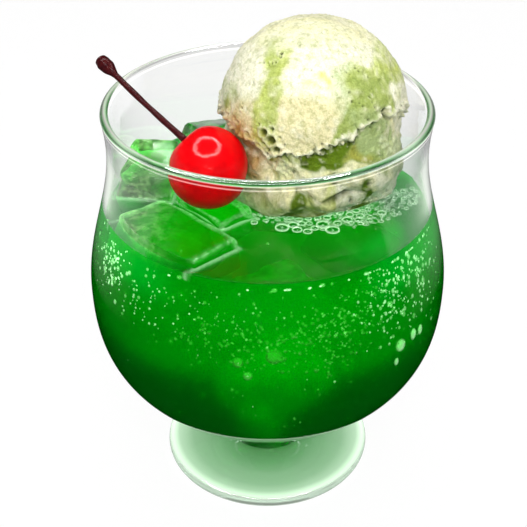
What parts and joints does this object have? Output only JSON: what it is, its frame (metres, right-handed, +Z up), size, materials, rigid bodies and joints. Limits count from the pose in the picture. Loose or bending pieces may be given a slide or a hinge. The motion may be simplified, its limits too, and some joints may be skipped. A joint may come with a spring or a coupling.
{
  "type": "ice cream float",
  "caption": "Footed round-bellied goblet of green soda with ice cubes, one scoop of marbled ice cream and a cherry on its stalk.",
  "frame": {"origin": "on the goblet's axis, at the surface that its foot stands on", "axes": "+Z up along the goblet's axis; -Y is the side seen in the picture, +X to its right, with the cherry at -X and the scoop at +X"},
  "size_m": [0.0956, 0.0956, 0.1299],
  "materials": {
    "clear_glass": "clear, polished, very faint green at the edges",
    "green_soda": "clear bright melon green liquid with fine bubbles",
    "marbled_ice_cream": "frozen cream, white marbled with pale green, ragged edges",
    "cherry_skin": "wet glossy bright red",
    "cherry_stalk": "dark red brown, satin",
    "ice": "clear wet ice with rounded edges and a few cracks"
  },
  "bodies": {
    "root": {"glass": "clear_glass", "drink": "green_soda", "ice_cream": "marbled_ice_cream", "cherry": "cherry_skin", "cherry_stem": "cherry_stalk", "ice_left": "ice", "ice_front": "ice", "ice_centre": "ice", "ice_back": "ice"}
  },
  "joints": []
}
